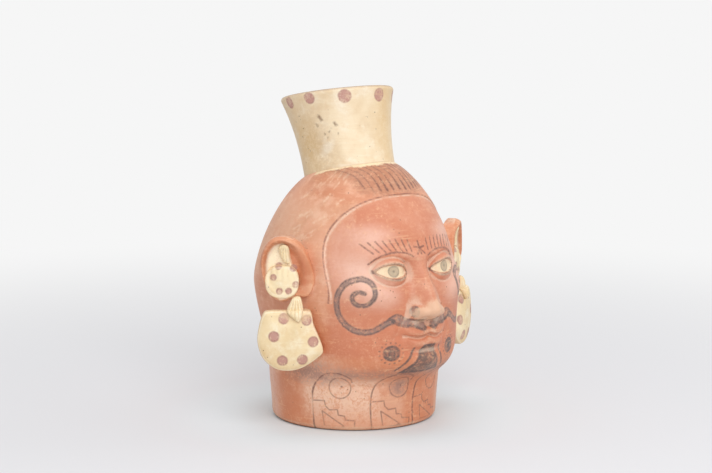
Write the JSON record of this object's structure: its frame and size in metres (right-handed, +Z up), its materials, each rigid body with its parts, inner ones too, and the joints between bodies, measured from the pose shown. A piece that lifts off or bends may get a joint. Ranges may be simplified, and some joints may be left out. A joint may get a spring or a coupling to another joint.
{
  "type": "portrait head vessel",
  "caption": "Hollow clay vessel shaped as a man's head on a drum neck, with a flared spout leaning back from the crown and cloth bags tied through the ears.",
  "frame": {"origin": "middle of the flat foot that the vessel stands on", "axes": "+Z up, the face looks towards -Y, and the figure's right side is towards -X"},
  "size_m": [0.2086, 0.1815, 0.2583],
  "materials": {
    "red_slip_clay": "burnished orange-red slip with worn purple-black paint",
    "cream_slip_clay": "smooth cream slip with purple dots, slightly dusty",
    "raw_clay": "unslipped fired clay, matt"
  },
  "bodies": {
    "root": {"front_shell": "red_slip_clay", "back_shell": "red_slip_clay", "base_slab": "raw_clay", "spout": "cream_slip_clay", "right_ear": "red_slip_clay", "left_ear": "red_slip_clay", "right_ear_bag": "cream_slip_clay", "left_ear_bag": "cream_slip_clay", "right_ear_gather": "cream_slip_clay", "left_ear_gather": "cream_slip_clay", "right_hanging_bag": "cream_slip_clay", "left_hanging_bag": "cream_slip_clay", "right_bag_knot": "cream_slip_clay", "left_bag_knot": "cream_slip_clay", "right_seam_coil": "raw_clay", "left_seam_coil": "raw_clay", "floor_coil": "raw_clay", "spout_coil": "raw_clay"}
  },
  "joints": []
}
